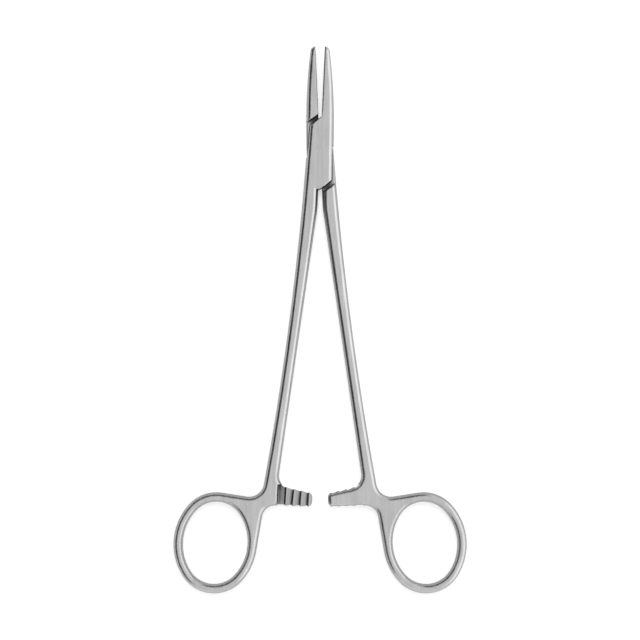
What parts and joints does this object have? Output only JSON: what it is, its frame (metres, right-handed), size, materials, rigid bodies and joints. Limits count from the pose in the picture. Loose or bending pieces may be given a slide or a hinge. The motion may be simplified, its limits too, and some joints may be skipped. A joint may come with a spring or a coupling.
{
  "type": "surgical needle holder",
  "caption": "Ring-handled surgical needle holder lying flat: slim cross-hatched jaws, box lock with pivot pin, long shanks, finger rings and a toothed ratchet between them.",
  "frame": {"origin": "pivot axis where it meets the surface that the instrument lies on, at the underside of the box lock", "axes": "+Y from the pivot to the jaw tips, +Z along the pivot axis and up from the surface, +X to the right of the tips seen from above"},
  "size_m": [0.0956, 0.1785, 0.0045],
  "materials": {
    "forged_steel": "satin ground and matt polished stainless steel",
    "pin_steel": "ground flush with the box"
  },
  "bodies": {
    "female_body": {"female_half": "forged_steel", "pivot_pin": "pin_steel"},
    "male_body": {"male_half": "forged_steel"}
  },
  "joints": [
    {"name": "box_lock_pivot", "type": "hinge", "parent": "female_body", "child": "male_body", "pos_m": [0, 0, 0.00225], "axis": [0, 0, 1], "range_deg": [-5, 34]}
  ]
}
